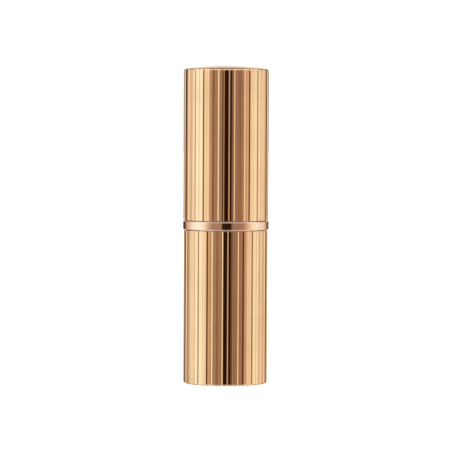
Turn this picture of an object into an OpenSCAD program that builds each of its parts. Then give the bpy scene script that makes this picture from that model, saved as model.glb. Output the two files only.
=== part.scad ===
// Swivel lipstick case: a cap and a base with raised reeds, and a plain ring between them.
// The collar turns on the base, and its spiral lifts the carrier and the lipstick.
// Origin: centre of the foot, on the surface that the case stands on. +Z is up.

/* [Outside] */
// Diameter of the base over its reeds
base_d = 20.25; // [20.1:0.05:21.5]
// Diameter of the cap over its reeds
cap_d = 20.5; // [20.3:0.1:22.0]
// Diameter of the plain ring between cap and base
ring_d = 20.8; // [20.6:0.1:22.5]
// Height of the base, from the foot to its open edge
base_h = 36.85; // [36.5:0.05:40]
// Height of the plain ring
ring_h = 2.2; // [1.8:0.1:3]
// Height of the cap, from its open edge to its rim
cap_h = 36.35; // [36:0.05:40]
// Rise of the domed disc above the cap's rim
dome_h = 0.8; // [0.3:0.05:1.2]
// Slit that shows above and below the plain ring
slit = 0.1; // [0.08:0.01:0.2]

/* [Reeding] */
// Number of raised reeds round the cap and the base
reeds = 25; // [20:1:30]
// Depth of the flutes between the reeds
flute_depth = 0.14; // [0.08:0.01:0.2]
// Width of the slope from a reed's top to the floor of a flute
flute_slope = 0.24; // [0.1:0.01:0.3]
// Turn of the cap's flutes from the front, in degrees
cap_turn = 0.5; // [-7.2:0.1:7.2]
// Turn of the base's flutes from the front, in degrees
base_turn = 6.7; // [-7.2:0.1:7.2]

/* [Mechanism] */
// Diameter of the lipstick
bullet_d = 12.1; // [11.5:0.1:12.1]
// Length of lipstick that stands out of the carrier
bullet_out = 18.5; // [16:0.1:18.5]
// Slope of the lipstick's cut face, in degrees
bullet_slope = 42; // [35:1:48]
// Height that the collar's ferrule stands above the plain ring
ferrule_out = 13.1; // [12.6:0.1:13.4]
// Turns of the collar that bring the lipstick right up
twist_turns = 1.25; // [1:0.05:1.5]
// Diameter of the carrier's two lugs
lug_d = 2; // [1.6:0.1:2]

/* [Walls] */
// Wall of the metal cap and base
shell_wall = 0.5; // [0.45:0.05:0.6]
// Wall of the plastic liner in the base
base_liner_wall = 0.7; // [0.6:0.05:0.75]
// Wall of the plastic liner in the cap
cap_liner_wall = 0.9; // [0.7:0.05:1]
// Radial play between parts that move on each other
play = 0.07; // [0.05:0.01:0.08]
// Radial gap between parts that are glued or pressed together
glue = 0.04; // [0.02:0.01:0.05]

/* [Hidden] */
$fn = 96;
round_fn = 48; // facets of small rounds and lugs
spline_fn = 24; // facets of a spline
dome_fn = 1440; // facets of the full circle that the dome is an arc of
eps = 0.01;
tool = 1; // how far a cutter runs past the surface that it cuts

// Rounds of the metal parts' edges
foot_round = 0.55;
edge_round = 0.08;
ring_round = 0.35;
ferrule_round = 0.35;
rim_round = 0.6;

// Heights, from the foot up
foot_plate = 1.2;
foot_recess_r = 8;
label_recess = 0.35;
label_t = 0.12;
label_margin = 0.2;
weight_h = 5;
liner_z = foot_plate + weight_h + glue;
liner_floor = 1.3;
liner_inset = 0.3;
socket_floor = liner_z + liner_floor;
socket_top = 20;
ring_z = base_h + slit;
cap_z = ring_z + ring_h + slit;
rim_z = cap_z + cap_h;
ferrule_top = ring_z + ring_h + ferrule_out;

// Radii, from the lipstick out
carrier_wall = 0.5;
tube_wall = 0.48;
spiral_wall = 0.58;
ferrule_wall = 0.4;
bullet_r = bullet_d / 2;
carrier_r = bullet_r + carrier_wall;
tube_in = carrier_r + play;
tube_r = tube_in + tube_wall;
spiral_in = tube_r + play;
spiral_r = spiral_in + spiral_wall;
ferrule_in = spiral_r + glue;
ferrule_r = ferrule_in + ferrule_wall;
bushing_in = ferrule_r + glue;

// Radii, from the outside in
cap_wall_more = 0.05; // the cap's metal is this much thicker than the base's
base_r = base_d / 2;
cap_r = cap_d / 2;
ring_r = ring_d / 2;
base_in = base_r - shell_wall;
base_liner_r = base_in - glue;
base_liner_in = base_liner_r - base_liner_wall;
bushing_r = base_liner_in - play;
cap_in = cap_r - shell_wall - cap_wall_more;
cap_liner_r = cap_in - glue;
cap_liner_in = cap_liner_r - cap_liner_wall;

// Lipstick and carrier
lip_t = 0.4; // the ferrule's lip, which turns in over the tube
lip_play = 0.15;
bullet_sunk = 0.7;
bullet_crown = 1.8;
bullet_taper = 1.1;
tip_share = 0.6; // how far back the lipstick's tip stands, as a share of its radius
bullet_top = ferrule_top - bullet_sunk;
carrier_h = 9;
carrier_floor = 1.2;
carrier_top = bullet_top - bullet_out;
carrier_z = carrier_top - carrier_h;
bullet_z = carrier_z + carrier_floor;
stroke = ferrule_top - carrier_top;
lug_r = lug_d / 2;
lug_margin = 0.6;
lug_z = carrier_z + lug_margin + lug_r;
lug_end = spiral_r - play;

// Inner tube
tube_flange_t = 0.7;
tube_foot_r = 7.45;
flange_gap = 0.25;
spline_r = 0.25;
splines = 16;
spline_inset = 1;
socket_r = tube_foot_r + spline_r + glue / 2;
slot_play = 0.1;

// Spiral
lead = stroke / twist_turns;
thread_play = 0.12;
thread_cos = cos(atan(lead / (2 * PI * spiral_in)));
thread_wide = (lug_d + 2 * thread_play) / thread_cos * 360 / lead;
thread_step = 7.5;
lip_gap = 0.1;
spiral_z = socket_top + tube_flange_t + flange_gap;
spiral_top = ferrule_top - lip_t - lip_gap;
thread_top = lug_z + stroke + lug_r + thread_play;

// Bushing under the plain ring, with its snap bead and brake rings
bead_z = 29;
bead_h = 0.8;
bead_out = 0.25;
bead_play = 0.2;
bushing_tail = 0.5;
bushing_z = bead_z - bushing_tail;
ring_rim = 1.05;
ring_lip = 0.4;
flange_r = ring_r - ring_rim;
brake_play = 0.03;
brake_w = 0.8;
brake_depth = 0.35;
brake_low = 31.2;
brake_high = 33.9;

// Cap
cap_plate = 0.8;
disc_recess = 0.4;
rim_land = 0.15;
disc_r = cap_r - rim_round - rim_land;
cap_weight_h = 2.2;
liner_top = rim_z - cap_plate - cap_weight_h - 2 * glue;
ceiling_t = 0.7;
ceiling_z = liner_top - ceiling_t;
mouth_inset = 0.4;
click_z = cap_z + 2;
click_h = 2;
click_out = 0.25;
click_in = ferrule_r + play;
click_slit = 1.2;

// A tube of round section between two heights
module tube(outer, inner, low, high) {
    translate([0, 0, low])
        difference() {
            cylinder(r = outer, h = high - low);
            translate([0, 0, -tool])
                cylinder(r = inner, h = high - low + 2 * tool);
        }
}

// A round disc between two heights
module disc(radius, low, high) {
    translate([0, 0, low])
        cylinder(r = radius, h = high - low);
}

// The sharp part of a corner outside a round of radius r. The corner points along [right, up].
module corner(at, r, right, up) {
    translate([at.x - right * r, at.y - up * r])
        difference() {
            translate([right > 0 ? 0 : -tool - r, up > 0 ? 0 : -tool - r])
                square(r + tool);
            circle(r = r, $fn = round_fn);
        }
}

// The flutes between the reeds, as cutters. One flute faces the front, -Y, when turn is 0.
// Each cutter's slopes run on by flute_depth past the reed's top and past the flute's floor.
module flutes(radius, low, high, turn) {
    floor_r = radius - flute_depth;
    middle = PI * radius / reeds / 2;
    narrow = middle - 1.5 * flute_slope;
    wide = middle + 1.5 * flute_slope;
    difference() {
        for (i = [0 : reeds - 1])
            rotate([0, 0, -90 + turn + i * 360 / reeds])
                translate([0, 0, low - tool])
                    linear_extrude(height = high - low + 2 * tool)
                        polygon([[floor_r - flute_depth, -narrow], [radius + flute_depth, -wide],
                                 [radius + flute_depth, wide], [floor_r - flute_depth, narrow]]);
        disc(floor_r, low - 2 * tool, high + 2 * tool);
    }
}

// One turning sector of the spiral's thread, as a cutter
module thread(start) {
    low = spiral_z - tool;
    run = thread_top - low;
    half = thread_wide / 2;
    near = spiral_in - 2 * tool;
    far = spiral_r + 2 * tool;
    rotate([0, 0, start - (low - lug_z) / lead * 360])
        translate([0, 0, low])
            linear_extrude(height = run, twist = run / lead * 360,
                           slices = ceil(run / lead * 360 / thread_step), segments = 4, $fn = 0)
                polygon([for (p = [[near, -half], [far, -half], [far, half], [near, half]])
                    p.x * [cos(p.y), sin(p.y)]]);
}

// ---- Base ----

module base_shell() {
    color("#d79a6a")
        difference() {
            rotate_extrude()
                difference() {
                    square([base_r, base_h]);
                    translate([-tool, -tool])
                        square([foot_recess_r + tool, label_recess + tool]);
                    translate([-tool, foot_plate])
                        square([base_in + tool, base_h]);
                    corner([base_r, 0], foot_round, 1, -1);
                    corner([base_r, base_h], edge_round, 1, 1);
                }
            flutes(base_r, 0, base_h, base_turn);
        }
}

module base_weight() {
    color("#8c9096")
        disc(base_in - 2 * glue, foot_plate, foot_plate + weight_h);
}

module shade_label() {
    color("#f2ede6")
        disc(foot_recess_r - label_margin, label_recess - glue - label_t, label_recess - glue);
}

module base_liner() {
    color("#e9e4dc")
        rotate_extrude()
            difference() {
                translate([0, liner_z])
                    square([base_liner_r, base_h - liner_inset - liner_z]);
                translate([-tool, socket_floor])
                    square([socket_r + tool, base_h]);
                translate([-tool, socket_top])
                    square([base_liner_in + tool, base_h]);
                translate([-tool, bead_z - bead_play])
                    square([base_liner_in + bead_out + bead_play / 2 + tool, bead_h + 2 * bead_play]);
            }
}

module inner_tube() {
    slot_w = lug_d + 2 * slot_play;
    slot_z = lug_z - lug_r - slot_play;
    inside = socket_floor + spline_inset;
    top = spiral_top;
    color("#f6f3ee")
        difference() {
            union() {
                disc(tube_r, socket_floor + glue, top);
                disc(tube_foot_r, socket_floor + glue, socket_top + tube_flange_t / 2);
                disc(base_liner_in - flange_gap, socket_top + glue, socket_top + tube_flange_t);
                for (i = [0 : splines - 1])
                    rotate([0, 0, i * 360 / splines])
                        translate([tube_foot_r, 0, inside])
                            cylinder(r = spline_r, h = socket_top - spline_inset - inside, $fn = spline_fn);
            }
            translate([0, 0, inside])
                cylinder(r = tube_in, h = top);
            translate([-base_r, -slot_w / 2, slot_z + slot_w / 2])
                cube([base_d, slot_w, top]);
            translate([-base_r, 0, slot_z + slot_w / 2])
                rotate([0, 90, 0])
                    cylinder(r = slot_w / 2, h = base_d, $fn = round_fn);
        }
}

// ---- Collar, which turns on the base ----

module collar_ring() {
    color("#dba076")
        rotate_extrude()
            difference() {
                translate([ferrule_r + glue, ring_z])
                    square([ring_r - ferrule_r - glue, ring_h]);
                translate([0, ring_z - tool])
                    square([flange_r + glue, ring_h - ring_lip + tool]);
                corner([ring_r, ring_z], ring_round, 1, -1);
                corner([ring_r, ring_z + ring_h], ring_round, 1, 1);
            }
}

module collar_bushing() {
    flange_top = ring_z + ring_h - ring_lip - glue;
    color("#f0ece5")
        difference() {
            union() {
                tube(bushing_r, bushing_in, bushing_z, flange_top);
                tube(base_liner_in + bead_out, bushing_in, bead_z, bead_z + bead_h);
                tube(flange_r, bushing_in, ring_z, flange_top);
            }
            for (low = [brake_low, brake_high])
                tube(bushing_r + tool, bushing_r - brake_depth, low, low + brake_w);
        }
}

module brake_ring(low) {
    color("#b9b4ad")
        tube(base_liner_in - brake_play, bushing_r - brake_depth + glue / 2,
             low + glue, low + brake_w - glue);
}

module lower_brake_ring() {
    brake_ring(brake_low);
}

module upper_brake_ring() {
    brake_ring(brake_high);
}

module ferrule() {
    color("#e0a87c")
        rotate_extrude()
            difference() {
                translate([0, spiral_z])
                    square([ferrule_r, ferrule_top - spiral_z]);
                translate([-tool, spiral_z - tool])
                    square([ferrule_in + tool, ferrule_top - lip_t - spiral_z + tool]);
                translate([-tool, spiral_z])
                    square([carrier_r + lip_play + tool, ferrule_top]);
                corner([ferrule_r, ferrule_top], ferrule_round, 1, 1);
            }
}

module spiral_sleeve() {
    color("#f8f6f2")
        difference() {
            tube(spiral_r, spiral_in, spiral_z, spiral_top);
            for (start = [0, 180])
                thread(start);
        }
}

// ---- Carrier, which slides up in the inner tube ----

module carrier_cup() {
    color("#efe9e0")
        difference() {
            union() {
                disc(carrier_r, carrier_z, carrier_top);
                translate([-lug_end, 0, lug_z])
                    rotate([0, 90, 0])
                        cylinder(r = lug_r, h = 2 * lug_end, $fn = round_fn);
            }
            translate([0, 0, bullet_z - eps])
                cylinder(r = bullet_r + glue / 2, h = carrier_h + tool);
        }
}

module lipstick_bullet() {
    shoulder = bullet_top - bullet_crown;
    tip_y = tip_share * bullet_r;
    block = 3 * bullet_d;
    color("#a8464a")
        difference() {
            union() {
                disc(bullet_r, bullet_z + eps, shoulder);
                translate([0, 0, shoulder])
                    cylinder(r1 = bullet_r, r2 = bullet_r - bullet_taper, h = bullet_crown);
            }
            translate([-block / 2, tip_y, bullet_top])
                rotate([bullet_slope, 0, 0])
                    translate([0, -block, 0])
                        cube([block, block + tool, block]);
        }
}

// ---- Cap, which pulls off the ferrule ----

module cap_shell() {
    color("#d9a070")
        difference() {
            rotate_extrude()
                difference() {
                    translate([0, cap_z])
                        square([cap_r, cap_h]);
                    translate([-tool, cap_z - tool])
                        square([cap_in + tool, cap_h - cap_plate + tool]);
                    translate([-tool, rim_z - disc_recess])
                        square([disc_r + glue + tool, disc_recess + tool]);
                    corner([cap_r, rim_z], rim_round, 1, 1);
                    corner([cap_r, cap_z], edge_round, 1, -1);
                }
            flutes(cap_r, cap_z, rim_z, cap_turn);
        }
}

module cap_top_disc() {
    // The arc from the crown of the dome down to the disc's edge at the rim's height
    dome_r = (disc_r * disc_r + dome_h * dome_h) / (2 * dome_h);
    color("#dda679")
        rotate_extrude()
            intersection() {
                translate([0, rim_z - disc_recess + glue])
                    square([disc_r, disc_recess + dome_h + tool]);
                translate([0, rim_z + dome_h - dome_r])
                    circle(r = dome_r, $fn = dome_fn);
            }
}

module cap_weight() {
    color("#8c9096")
        disc(cap_in - 2 * glue, liner_top + glue, rim_z - cap_plate - glue);
}

module cap_liner() {
    color("#ddd6cc")
        rotate_extrude()
            difference() {
                translate([0, cap_z + mouth_inset])
                    square([cap_liner_r, liner_top - cap_z - mouth_inset]);
                translate([-tool, cap_z])
                    square([cap_liner_in + tool, ceiling_z - cap_z]);
                translate([-tool, click_z])
                    square([cap_liner_in + click_out + tool, click_h]);
            }
}

module cap_click_ring() {
    color("#f4f1ea")
        difference() {
            tube(cap_liner_in + click_out - glue, click_in, click_z + glue, click_z + click_h - glue);
            translate([0, -click_slit / 2, click_z - tool])
                cube([cap_r, click_slit, click_h + 2 * tool]);
        }
}

base_shell();
base_weight();
shade_label();
base_liner();
inner_tube();
collar_ring();
collar_bushing();
lower_brake_ring();
upper_brake_ring();
ferrule();
spiral_sleeve();
carrier_cup();
lipstick_bullet();
cap_shell();
cap_top_disc();
cap_weight();
cap_liner();
cap_click_ring();
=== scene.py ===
"""The looks of a swivel lipstick case: reeded rose-gold cap and base, a plain ring, and the lipstick inside.

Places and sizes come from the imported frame's own meshes. Lengths are in metres, and written as
numbers of MM. Outlines are (radius, height) points about the case's axis.
"""

import math

import bpy
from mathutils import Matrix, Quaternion, Vector


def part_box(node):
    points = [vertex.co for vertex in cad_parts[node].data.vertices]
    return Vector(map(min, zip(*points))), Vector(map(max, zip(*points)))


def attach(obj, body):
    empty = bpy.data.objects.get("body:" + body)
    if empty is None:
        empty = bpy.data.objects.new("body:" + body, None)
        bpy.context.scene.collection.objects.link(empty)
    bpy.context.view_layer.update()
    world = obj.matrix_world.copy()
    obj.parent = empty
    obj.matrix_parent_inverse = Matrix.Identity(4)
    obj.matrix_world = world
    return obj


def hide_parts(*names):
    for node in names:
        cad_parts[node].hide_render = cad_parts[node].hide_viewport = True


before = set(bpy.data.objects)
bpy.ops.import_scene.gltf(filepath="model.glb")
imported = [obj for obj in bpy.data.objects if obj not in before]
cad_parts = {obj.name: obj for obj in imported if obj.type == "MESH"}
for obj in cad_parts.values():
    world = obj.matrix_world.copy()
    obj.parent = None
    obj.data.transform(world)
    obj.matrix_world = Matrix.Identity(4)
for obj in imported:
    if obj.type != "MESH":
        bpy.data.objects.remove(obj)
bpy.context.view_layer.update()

MM = 0.001
TAU = 2 * math.pi
FRONT = -math.pi / 2  # the camera's side of the case, -Y
GLUE_GAP = 0.04 * MM  # between pieces that are glued or pressed together
REEDS = 25
FLUTE_DEPTH = 0.14 * MM
FLUTE_SLOPE = 0.37 * MM  # width of the soft slope between a reed's top and a flute's floor
FLUTE_FADE = 0.48 * MM  # how far in from the reeds' tops the flutes fade out on a rounded end
CAP_TURN = math.radians(0.5)
BASE_TURN = math.radians(6.7)

# ---------------------------------------------------------------- what the frame says


def radii(node):
    """The node's smallest and largest radius about the case's axis."""
    found = [math.hypot(v.co.x, v.co.y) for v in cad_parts[node].data.vertices]
    return min(found), max(found)


def heights(node):
    """The node's lowest and highest point."""
    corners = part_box(node)
    return corners[0].z, corners[1].z


# ---------------------------------------------------------------- mesh helpers


def mesh_object(name, verts, faces, material, smooth_angle):
    """A smooth-shaded mesh whose edges stay sharp where they turn by more than smooth_angle."""
    mesh = bpy.data.meshes.new(name)
    mesh.from_pydata(verts, [], faces)
    mesh.validate()
    mesh.materials.append(material)
    mesh.shade_smooth()
    mesh.set_sharp_from_angle(angle=math.radians(smooth_angle))
    piece = bpy.data.objects.new(name, mesh)
    bpy.context.scene.collection.objects.link(piece)
    return piece


def arc(centre, radius, start, end, steps):
    """Points of a round in the (radius, height) plane, with angles in degrees."""
    points = []
    for i in range(steps + 1):
        a = math.radians(start + (end - start) * i / steps)
        points.append((centre[0] + radius * math.cos(a), centre[1] + radius * math.sin(a)))
    return points


def even_angles(steps):
    return [TAU * j / steps for j in range(steps)]


def lathe(name, outline, material, angles=None, shape=None, smooth_angle=35):
    """A solid of revolution. The outline is (radius, height) points that run up the outside and
    down the inside: a closed ring, or a solid that starts and ends on the axis.
    shape(radius, angle) gives the radius that an outline's point has at that angle."""
    angles = angles or even_angles(256)
    steps = len(angles)
    solid = outline[0][0] == 0 and outline[-1][0] == 0
    rows = outline[1:-1] if solid else outline
    verts = []
    for r, z in rows:
        for a in angles:
            reach = shape(r, a) if shape else r
            verts.append((reach * math.cos(a), reach * math.sin(a), z))
    faces = []
    for i in range(len(rows) - 1 if solid else len(rows)):
        a = i * steps
        b = (i + 1) % len(rows) * steps
        for j in range(steps):
            k = (j + 1) % steps
            faces.append((a + j, a + k, b + k, b + j))
    if solid:
        bottom = len(verts)
        verts += [(0, 0, outline[0][1]), (0, 0, outline[-1][1])]
        last = (len(rows) - 1) * steps
        for j in range(steps):
            k = (j + 1) % steps
            faces.append((bottom, k, j))
            faces.append((bottom + 1, last + j, last + k))
    return mesh_object(name, verts, faces, material, smooth_angle)


def smooth_min(a, b, blend):
    """The smaller of two heights, with the edge between them rounded over the blend."""
    near = max(blend - abs(a - b), 0) / blend
    return min(a, b) - near * near * blend / 4


# ---------------------------------------------------------------- reeding


def reed_angles(crest, turn):
    """Angles close together on the slopes, wider apart on the reeds' tops and the flutes' floors."""
    half_pitch = TAU / REEDS / 2
    half_slope = FLUTE_SLOPE / 2 / crest
    level = half_pitch - 2 * half_slope
    angles = []
    for i in range(2 * REEDS):
        edge = FRONT + turn + (i + 0.5) * half_pitch
        angles += [edge + half_slope * k / 7 for k in range(-7, 8)]
        angles += [edge + half_slope + level * k / 6 for k in range(1, 6)]
    return angles


def reeded(crest, turn):
    """Cuts the flutes into an outline whose reeds' tops are at radius crest. They follow the metal
    round its rounded ends and fade out there. A flute faces the front when turn is 0."""
    pitch = TAU / REEDS

    def shape(radius, angle):
        off = (angle - FRONT - turn) / pitch
        past_edge = (abs(off - round(off)) - 0.25) * pitch * crest
        t = min(1, max(0, 0.5 + past_edge / FLUTE_SLOPE))
        depth = FLUTE_DEPTH * (1 - t * t * (3 - 2 * t))
        fade = min(1, max(0, 1 - (crest - radius) / FLUTE_FADE))
        return radius - depth * fade

    return shape


# ---------------------------------------------------------------- material helpers


class Nodes:
    """A new material's node tree, with its Principled shader at hand."""

    def __init__(self, name):
        self.material = bpy.data.materials.new(name)
        self.material.use_nodes = True
        self.tree = self.material.node_tree
        self.tree.nodes.clear()
        self.shader = self.add("ShaderNodeBsdfPrincipled")
        output = self.add("ShaderNodeOutputMaterial")
        self.link(self.shader.outputs["BSDF"], output.inputs["Surface"])
        self.position = self.add("ShaderNodeTexCoord").outputs["Object"]

    def add(self, kind):
        return self.tree.nodes.new(kind)

    def link(self, source, target):
        self.tree.links.new(source, target)

    def set(self, **values):
        for key, value in values.items():
            self.shader.inputs[key.replace("_", " ")].default_value = value

    def noise(self, scale, detail=3, stretch=(1, 1, 1)):
        """Noise with features of about 1 / scale metres."""
        mapping = self.add("ShaderNodeMapping")
        mapping.inputs["Scale"].default_value = stretch
        self.link(self.position, mapping.inputs["Vector"])
        node = self.add("ShaderNodeTexNoise")
        node.inputs["Scale"].default_value = scale
        node.inputs["Detail"].default_value = detail
        self.link(mapping.outputs["Vector"], node.inputs["Vector"])
        return node.outputs["Fac"]

    def ramp(self, source, stops):
        node = self.add("ShaderNodeValToRGB")
        fill_ramp(node.color_ramp, stops)
        self.link(source, node.inputs["Fac"])
        return node.outputs["Color"]

    def spread(self, source, low, high):
        """The middle of a noise, stretched to run from low to high."""
        node = self.add("ShaderNodeMapRange")
        for key, value in (("From Min", 0.3), ("From Max", 0.7), ("To Min", low), ("To Max", high)):
            node.inputs[key].default_value = value
        self.link(source, node.inputs["Value"])
        return node.outputs["Result"]

    def bump(self, height, distance):
        node = self.add("ShaderNodeBump")
        node.inputs["Distance"].default_value = distance
        self.link(height, node.inputs["Height"])
        self.link(node.outputs["Normal"], self.shader.inputs["Normal"])


def fill_ramp(ramp, stops):
    while len(ramp.elements) < len(stops):
        ramp.elements.new(0.5)
    for element, (at, colour) in zip(ramp.elements, stops):
        element.position = at
        element.color = (*colour, 1)


def shades(colour, dark, light):
    """The colour with a darker and a lighter neighbour, as the stops of a noise's ramp."""
    down = tuple(c * dark for c in colour)
    up = tuple(min(1, c * light) for c in colour)
    return [(0.3, down), (0.5, colour), (0.7, up)]


def metal(name, colour, roughness, wave):
    """Polished and anodised metal: cloudy polish, drawing streaks along the case and slight waves."""
    n = Nodes(name)
    n.link(n.ramp(n.noise(180, 4), shades(colour, 0.95, 1.03)), n.shader.inputs["Base Color"])
    streaks = n.noise(2600, 2, stretch=(1, 1, 0.02))
    n.link(n.spread(streaks, roughness * 0.7, roughness * 1.4), n.shader.inputs["Roughness"])
    n.bump(n.noise(260, 2, stretch=(1, 1, 0.25)), wave)
    n.set(Metallic=1.0)
    return n.material


def plastic(name, colour, roughness, grain=0.01 * MM, coat=0.0):
    """Moulded plastic: fine mould texture and slight flow marks."""
    n = Nodes(name)
    flow = n.noise(120, 4, stretch=(1, 1, 0.4))
    n.link(n.ramp(flow, shades(colour, 0.95, 1.03)), n.shader.inputs["Base Color"])
    n.link(n.spread(n.noise(900, 3), roughness * 0.8, roughness * 1.25), n.shader.inputs["Roughness"])
    n.bump(n.noise(4000, 2), grain)
    n.set(IOR=1.5, Coat_Weight=coat, Coat_Roughness=0.2)
    return n.material


def steel(name):
    """Zinc-plated steel, turned, with fine rings and spangle."""
    n = Nodes(name)
    n.link(n.ramp(n.noise(700, 4), shades((0.56, 0.57, 0.59), 0.85, 1.08)), n.shader.inputs["Base Color"])
    n.link(n.spread(n.noise(1800, 3), 0.22, 0.4), n.shader.inputs["Roughness"])
    n.bump(n.noise(5200, 2, stretch=(1, 1, 0.1)), 0.004 * MM)
    n.set(Metallic=1.0)
    return n.material


def wax(name):
    """Satin lipstick: deep colour with a soft sheen, faint mould marks and pigment specks."""
    n = Nodes(name)
    body = (0.47, 0.075, 0.085)
    n.link(n.ramp(n.noise(520, 5), shades(body, 0.93, 1.05)), n.shader.inputs["Base Color"])
    n.link(n.spread(n.noise(700, 3, stretch=(1, 1, 0.3)), 0.24, 0.38), n.shader.inputs["Roughness"])
    n.bump(n.noise(1500, 3), 0.012 * MM)
    n.set(Subsurface_Weight=0.2, Subsurface_Radius=(1.0, 0.3, 0.25), Subsurface_Scale=0.8 * MM)
    n.set(IOR=1.45, Coat_Weight=0.25, Coat_Roughness=0.3)
    return n.material


def film(name):
    """Blank label film with a fine tooth."""
    n = Nodes(name)
    n.link(n.ramp(n.noise(2400, 4), shades((0.86, 0.84, 0.80), 0.96, 1.02)), n.shader.inputs["Base Color"])
    n.link(n.spread(n.noise(1600, 3), 0.4, 0.6), n.shader.inputs["Roughness"])
    n.bump(n.noise(5000, 2), 0.006 * MM)
    return n.material


# ---------------------------------------------------------------- outside pieces


def build_cap_shell(material):
    """The cap's reeded tube with its closed end, its rounded rim and the seat for the domed disc."""
    bottom, rim = heights("cap_shell")
    crest = radii("cap_shell")[1]
    liner_r = radii("cap_liner")[1]
    disc_r = radii("cap_top_disc")[1]
    disc_z = heights("cap_top_disc")[0]
    wall_in = liner_r + GLUE_GAP
    plate_z = heights("cap_weight")[1] + GLUE_GAP
    round_r = 0.6 * MM
    lip = 0.08 * MM
    edge = 0.06 * MM
    seat_r = disc_r + GLUE_GAP
    seat_z = disc_z - GLUE_GAP
    outline = [(0, plate_z), (wall_in - lip, plate_z)]
    outline += [(wall_in, plate_z - lip), (wall_in, bottom + edge), (wall_in + edge, bottom)]
    outline += arc((crest - lip, bottom + lip), lip, -90, 0, 6)
    outline += [(crest, bottom + 2.5 * lip), (crest, rim - 2 * round_r)]
    outline += arc((crest - round_r, rim - round_r), round_r, 0, 90, 14)
    outline += arc((seat_r + edge, rim - edge), edge, 90, 180, 4)
    outline += [(seat_r, seat_z), (0, seat_z)]
    angles = reed_angles(crest, CAP_TURN)
    return lathe("cap_reeded_shell", outline, material, angles, reeded(crest, CAP_TURN))


def build_base_shell(material):
    """The base's reeded tube with its rounded foot and the recess for the label."""
    foot, top = heights("base_shell")
    crest = radii("base_shell")[1]
    wall_in = radii("base_liner")[1] + GLUE_GAP
    floor_z = heights("base_weight")[0]
    label_top = heights("shade_label")[1] + GLUE_GAP
    label_margin = 0.2 * MM
    recess_r = radii("shade_label")[1] + label_margin
    round_r = 0.55 * MM
    lip = 0.08 * MM
    edge = 0.08 * MM
    outline = [(0, label_top), (recess_r, label_top), (recess_r, foot + edge)]
    outline += arc((recess_r + edge, foot + edge), edge, 180, 270, 4)[1:]
    outline += arc((crest - round_r, foot + round_r), round_r, -90, 0, 16)
    outline += [(crest, foot + 1.5 * round_r), (crest, top - 2.5 * lip)]
    outline += arc((crest - lip, top - lip), lip, 0, 90, 6)
    outline += [(wall_in + edge, top), (wall_in, top - edge), (wall_in, floor_z), (0, floor_z)]
    angles = reed_angles(crest, BASE_TURN)
    return lathe("base_reeded_shell", outline, material, angles, reeded(crest, BASE_TURN))


def build_ring(material):
    """The plain ring, with a lip over the bushing's flange."""
    bottom, top = heights("collar_ring")
    bore, crest = radii("collar_ring")
    lip_z = heights("collar_bushing")[1] + GLUE_GAP
    rim_wall = 1.01 * MM
    flange_r = crest - rim_wall
    round_r = 0.35 * MM
    edge = 0.05 * MM
    outline = [(flange_r, bottom)]
    outline += arc((crest - round_r, bottom + round_r), round_r, -90, 0, 12)
    outline += arc((crest - round_r, top - round_r), round_r, 0, 90, 12)
    outline += [(bore + edge, top), (bore, top - edge), (bore, lip_z), (flange_r, lip_z)]
    return lathe("collar_polished_ring", outline, material)


def build_top_disc(material):
    """The disc in the cap's top, domed from its edge at the rim's height."""
    bottom, crown = heights("cap_top_disc")
    edge_r = radii("cap_top_disc")[1]
    rim = heights("cap_shell")[1]
    rise = crown - rim
    dome_r = (edge_r**2 + rise**2) / (2 * rise)
    slope = math.degrees(math.asin(edge_r / dome_r))
    edge = 0.05 * MM
    outline = [(0, bottom), (edge_r - edge, bottom), (edge_r, bottom + edge), (edge_r, rim - edge)]
    dome = arc((0, crown - dome_r), dome_r, 90 - slope, 90, 28)
    outline += [(edge_r - 0.25 * edge, rim - 0.25 * edge)] + dome[1:-1] + [(0, crown)]
    return lathe("cap_domed_disc", outline, material)


# ---------------------------------------------------------------- what shows when the cap is off


def build_ferrule(material):
    """The tube that the cap grips, with its mouth rolled in over the spiral sleeve."""
    bottom, top = heights("ferrule")
    mouth, crest = radii("ferrule")
    spiral_r = radii("spiral_sleeve")[1]
    bore = spiral_r + GLUE_GAP
    lip_height = 0.4 * MM
    shelf = top - lip_height
    round_r = 0.35 * MM
    roll = 0.18 * MM
    outline = [(crest, bottom)]
    outline += [(crest, top - 3 * round_r)]
    outline += arc((crest - round_r, top - round_r), round_r, 0, 90, 14)
    outline += arc((mouth + roll, top - roll), roll, 90, 180, 8)
    outline += [(mouth, shelf), (bore, shelf), (bore, bottom)]
    return lathe("collar_ferrule", outline, material)


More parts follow.
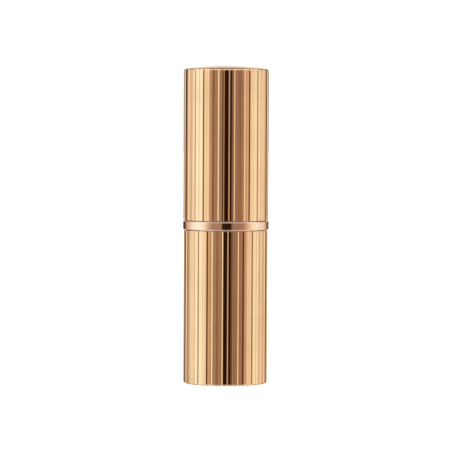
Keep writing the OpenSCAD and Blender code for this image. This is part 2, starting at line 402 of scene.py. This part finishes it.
def build_bullet(material):
    """A slanted lipstick: a rounded crown, cut by a sloping face whose edges are softened."""
    bottom, top = heights("lipstick_bullet")
    radius = radii("lipstick_bullet")[1]
    slope = math.tan(math.radians(42))
    tip_y = 0.6 * radius
    crown = 1.8 * MM
    squareness = 3.2
    hollow_depth = 0.35 * MM
    soft = 0.5 * MM
    steps, rings = 192, 56

    def surface(x, y):
        r = min(1, math.hypot(x, y) / radius)
        dome = top - crown * (1 - math.sqrt(max(0, 1 - r**squareness)))
        hollow = hollow_depth * (1 - r * r)
        face = top - (tip_y - y) * slope - hollow
        return smooth_min(dome, face, soft)

    verts, faces = [], []
    for r in [radius * math.sin(math.pi / 2 * (i + 1) / rings) for i in range(rings)]:
        for a in even_angles(steps):
            x, y = r * math.cos(a), r * math.sin(a)
            verts.append((x, y, surface(x, y)))
    for i in range(rings - 1):
        for j in range(steps):
            k = (j + 1) % steps
            faces.append((i * steps + j, (i + 1) * steps + j, (i + 1) * steps + k, i * steps + k))
    side = (rings - 1) * steps
    walls = 6
    for w in range(1, walls + 1):
        for j in range(steps):
            x, y, z = verts[side + j]
            verts.append((x, y, z + (bottom - z) * w / walls))
        row = side + w * steps
        for j in range(steps):
            k = (j + 1) % steps
            faces.append((row - steps + j, row + j, row + k, row - steps + k))
    crown_point, foot_point = len(verts), len(verts) + 1
    verts += [(0, 0, surface(0, 0)), (0, 0, bottom)]
    for j in range(steps):
        k = (j + 1) % steps
        faces.append((crown_point, j, k))
        faces.append((foot_point, row + k, row + j))
    return mesh_object("lipstick_slanted_bullet", verts, faces, material, smooth_angle=50)


# ---------------------------------------------------------------- studio


def full_circle(left, right):
    """Stops in degrees from the camera's direction, 0 to 180 each way, as a ramp over the circle."""
    stops = [(0.5 - at / 360, colour) for at, colour in reversed(left)]
    return stops + [(0.5 + at / 360, colour) for at, colour in right]


def build_world():
    """A round studio that only mirror-like rays see: a dark slot at the camera, dim warm card
    beside it, broad soft boxes at the sides, a dark seam, and a pale sweep behind the case.
    All other light is an even white."""
    slot = (0.024, 0.007, 0.001)
    seam = (0.05, 0.018, 0.004)
    pale_card = (0.90, 0.84, 0.80)
    table = (0.76, 0.80, 0.88)
    top_box = (0.99, 0.95, 0.95)
    ceiling = (0.47, 0.35, 0.29)
    overhead = (0.30, 0.20, 0.15)
    sweep = [(162, (0.60, 0.55, 0.51)), (180, (0.98, 0.93, 0.88))]
    left = [(9, slot), (11, (0.34, 0.23, 0.18)), (18, (0.42, 0.26, 0.20)), (34, (0.40, 0.26, 0.19))]
    left += [(44, (0.58, 0.39, 0.26)), (56, (0.94, 0.80, 0.66)), (68, (1.04, 1.10, 1.08))]
    left += [(86, (1.04, 1.13, 1.12)), (98, (0.99, 0.95, 0.90)), (112, (0.86, 0.68, 0.60))]
    left += [(128, (0.56, 0.42, 0.34)), (141, seam), (149, seam)]
    right = [(14, slot), (16, (0.22, 0.13, 0.10)), (22, (0.34, 0.21, 0.17)), (40, (0.35, 0.20, 0.14))]
    right += [(50, (0.46, 0.27, 0.19)), (62, (0.76, 0.54, 0.42)), (74, (0.94, 0.84, 0.72))]
    right += [(88, (1.00, 0.99, 0.88)), (104, (0.96, 0.88, 0.78)), (118, (0.92, 0.77, 0.66))]
    right += [(130, (0.70, 0.54, 0.48)), (146, (0.13, 0.06, 0.03)), (152, (0.10, 0.04, 0.02))]
    left += sweep
    right += sweep

    world = bpy.data.worlds.new("studio")
    bpy.context.scene.world = world
    world.use_nodes = True
    tree = world.node_tree
    tree.nodes.clear()

    def add(kind, operation=None):
        node = tree.nodes.new(kind)
        if operation:
            node.operation = operation
        return node

    def link(source, target):
        tree.links.new(source, target)

    direction = add("ShaderNodeTexCoord")
    split = add("ShaderNodeSeparateXYZ")
    link(direction.outputs["Generated"], split.inputs["Vector"])
    towards_camera = add("ShaderNodeMath", "MULTIPLY")
    towards_camera.inputs[1].default_value = -1
    link(split.outputs["Y"], towards_camera.inputs[0])
    azimuth = add("ShaderNodeMath", "ARCTAN2")
    link(split.outputs["X"], azimuth.inputs[0])
    link(towards_camera.outputs[0], azimuth.inputs[1])
    share = add("ShaderNodeMapRange")
    share.inputs["From Min"].default_value = -math.pi
    share.inputs["From Max"].default_value = math.pi
    link(azimuth.outputs[0], share.inputs["Value"])
    around = add("ShaderNodeValToRGB")
    fill_ramp(around.color_ramp, full_circle(left, right))
    link(share.outputs["Result"], around.inputs["Fac"])

    def fade(source, start, end, low, high):
        """A share that runs from low to high as the source runs from start to end."""
        node = add("ShaderNodeMapRange")
        node.inputs["From Min"].default_value = start
        node.inputs["From Max"].default_value = end
        node.inputs["To Min"].default_value = low
        node.inputs["To Max"].default_value = high
        link(source, node.inputs["Value"])
        return node.outputs["Result"]

    def mix(share, first, second):
        """The first colour at a share of 0 and the second at 1. Either may be a socket."""
        node = add("ShaderNodeMix")
        node.data_type = "RGBA"
        link(share, node.inputs["Factor"])
        for socket, colour in ((node.inputs[6], first), (node.inputs[7], second)):
            if isinstance(colour, tuple):
                socket.default_value = (*colour, 1)
            else:
                link(colour, socket)
        return node.outputs[2]

    # A direction has a length of 1, so its Z is the sine of its height above the horizon.
    height = split.outputs["Z"]
    away_from_camera = split.outputs["Y"]
    walls = around.outputs["Color"]

    # Below the horizon: the walls' pattern, then a little paler, then the table under the foot
    lower = mix(fade(height, -0.36, -0.16, 0.22, 0), walls, pale_card)
    lower = mix(fade(height, -0.95, -0.82, 0.7, 0), lower, table)

    # Above it: a bright soft box in front, a dim ceiling behind, and a darker patch overhead
    front = mix(fade(height, 0.12, 0.40, 0, 0.85), walls, top_box)
    behind = mix(fade(height, 0.16, 0.36, 0, 1), walls, ceiling)
    upper = mix(fade(away_from_camera, 0.25, 0.45, 0, 1), front, behind)
    upper = mix(fade(height, 0.78, 0.88, 0, 1), upper, overhead)
    pattern = mix(fade(height, -0.02, 0.02, 0, 1), lower, upper)

    mirror_light = add("ShaderNodeBackground")
    mirror_light.inputs["Strength"].default_value = 1.0
    link(pattern, mirror_light.inputs["Color"])
    plain_light = add("ShaderNodeBackground")
    plain_light.inputs["Color"].default_value = (1, 1, 1, 1)
    plain_light.inputs["Strength"].default_value = 1.05
    path = add("ShaderNodeLightPath")
    chosen = add("ShaderNodeMixShader")
    link(path.outputs["Is Glossy Ray"], chosen.inputs["Fac"])
    link(plain_light.outputs[0], chosen.inputs[1])
    link(mirror_light.outputs[0], chosen.inputs[2])
    output = add("ShaderNodeOutputWorld")
    link(chosen.outputs[0], output.inputs["Surface"])


def build_floor():
    """A white floor that glows a little, so that it stays white. The metal doesn't mirror it."""
    bpy.ops.mesh.primitive_circle_add(vertices=96, radius=6, fill_type="NGON")
    floor = bpy.context.object
    floor.name = "floor"
    n = Nodes("floor_white")
    n.link(n.ramp(n.noise(3, 2), shades((0.84, 0.84, 0.84), 0.99, 1.01)), n.shader.inputs["Base Color"])
    n.set(Roughness=0.9, Emission_Color=(1, 1, 1, 1), Emission_Strength=0.5, Specular_IOR_Level=0.0)
    floor.data.materials.append(n.material)
    floor.visible_glossy = False


def build_camera():
    """A long lens that looks slightly down at the case, rolled by the case's lean in the photo."""
    data = bpy.data.cameras.new("camera")
    data.sensor_width = 36
    data.lens = 219.8
    data.clip_start, data.clip_end = 0.01, 50
    camera = bpy.data.objects.new("camera", data)
    bpy.context.scene.collection.objects.link(camera)
    aside = 0.06 * MM
    lean = math.radians(0.28)
    target = Vector((aside, 0, 37.8 * MM))
    back_and_up = Vector((0, -664 * MM, 24.2 * MM))
    camera.location = target + back_and_up
    camera.rotation_mode = "QUATERNION"
    level = (target - camera.location).to_track_quat("-Z", "Y")
    camera.rotation_quaternion = level @ Quaternion((0, 0, 1), lean)
    bpy.context.scene.camera = camera


# ---------------------------------------------------------------- put it together

rose = metal("rose_gold", (0.94, 0.70, 0.44), 0.07, 0.0006 * MM)
ring_rose = metal("ring_rose_gold", (0.95, 0.76, 0.60), 0.09, 0.0004 * MM)
ferrule_rose = metal("ferrule_rose_gold", (0.93, 0.71, 0.50), 0.08, 0.0004 * MM)
liner = plastic("liner_plastic", (0.72, 0.66, 0.58), 0.34, coat=0.1)
pale = plastic("mechanism_plastic", (0.84, 0.82, 0.77), 0.42)
silicone = plastic("silicone", (0.62, 0.60, 0.57), 0.6, grain=0.004 * MM)
weight = steel("weight_steel")
lipstick = wax("lipstick_wax")
label = film("label_film")

PIECES = [
    (build_cap_shell(rose), "cap", "cap_shell", "rose_metal"),
    (build_base_shell(rose), "base", "base_shell", "rose_metal"),
    (build_ring(ring_rose), "collar", "collar_ring", "ring_metal"),
    (build_top_disc(ring_rose), "cap", "cap_top_disc", "ring_metal"),
    (build_ferrule(ferrule_rose), "collar", "ferrule", "ferrule_metal"),
    (build_bullet(lipstick), "carrier", "lipstick_bullet", "lipstick_wax"),
]
for piece, body, node, slot in PIECES:
    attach(piece, body)
    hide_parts(node)

CARRIED_OVER = {
    "base_weight": weight,
    "cap_weight": weight,
    "shade_label": label,
    "base_liner": liner,
    "cap_liner": liner,
    "collar_bushing": liner,
    "inner_tube": pale,
    "spiral_sleeve": pale,
    "carrier_cup": pale,
    "cap_click_ring": pale,
    "lower_brake_ring": silicone,
    "upper_brake_ring": silicone,
}
for node, material in CARRIED_OVER.items():
    for material_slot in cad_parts[node].material_slots:
        material_slot.material = material

build_floor()
build_world()
build_camera()
bpy.context.scene.view_settings.view_transform = "Standard"
